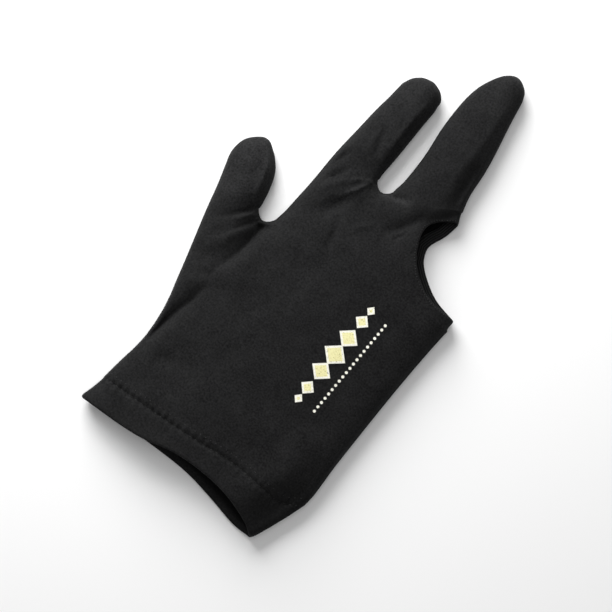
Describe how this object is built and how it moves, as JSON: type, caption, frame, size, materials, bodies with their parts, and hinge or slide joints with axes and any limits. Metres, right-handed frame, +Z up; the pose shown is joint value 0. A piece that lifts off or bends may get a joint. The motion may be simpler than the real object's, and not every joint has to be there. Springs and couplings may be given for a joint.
{
  "type": "billiard glove",
  "caption": "Stretch-cloth cue glove that covers thumb, index and middle finger, with a hemmed wrist and a bound side opening for the bare fingers.",
  "frame": {"origin": "on the surface the glove lies on, under the middle of its bounding box", "axes": "+Y from the wrist to the fingertips, +X from the thumb side to the little-finger side, +Z up, out of the back of the hand"},
  "size_m": [0.1202, 0.2234, 0.0137],
  "materials": {
    "glove_knit": "matte fine stretch knit, black",
    "hem_knit": "the same knit turned over on itself, black",
    "binding_elastic": "narrow ribbed elastic binding, black"
  },
  "bodies": {
    "root": {"back_panel": "glove_knit", "palm_panel": "glove_knit", "wrist_hem": "hem_knit", "opening_binding": "binding_elastic"}
  },
  "joints": []
}
